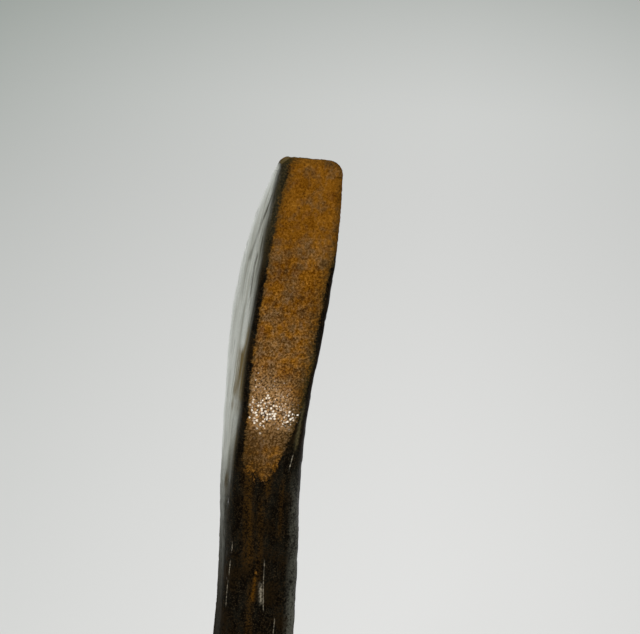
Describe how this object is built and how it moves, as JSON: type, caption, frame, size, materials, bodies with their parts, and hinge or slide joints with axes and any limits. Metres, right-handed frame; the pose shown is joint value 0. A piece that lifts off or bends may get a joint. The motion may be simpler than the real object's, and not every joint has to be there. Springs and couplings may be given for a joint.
{
  "type": "rail spike",
  "caption": "Square-shanked steel spike with a chisel point and an offset head, driven into a timber tie so that its lip holds down the foot of a rail.",
  "frame": {"origin": "centre of the flat beaten on the crown, on the axis of the shank", "axes": "+Z along the shank from the crown to the point, +Y towards the lip and across the rail, +X along the rail and towards the bend"},
  "size_m": [0.031, 0.0359, 0.1695],
  "materials": {
    "forged_steel": "hot-forged carbon steel with black scale on the shank, granular orange-brown rust on the point and burnished sides, under a film of oil"
  },
  "bodies": {
    "root": {"spike": "forged_steel"}
  },
  "joints": []
}
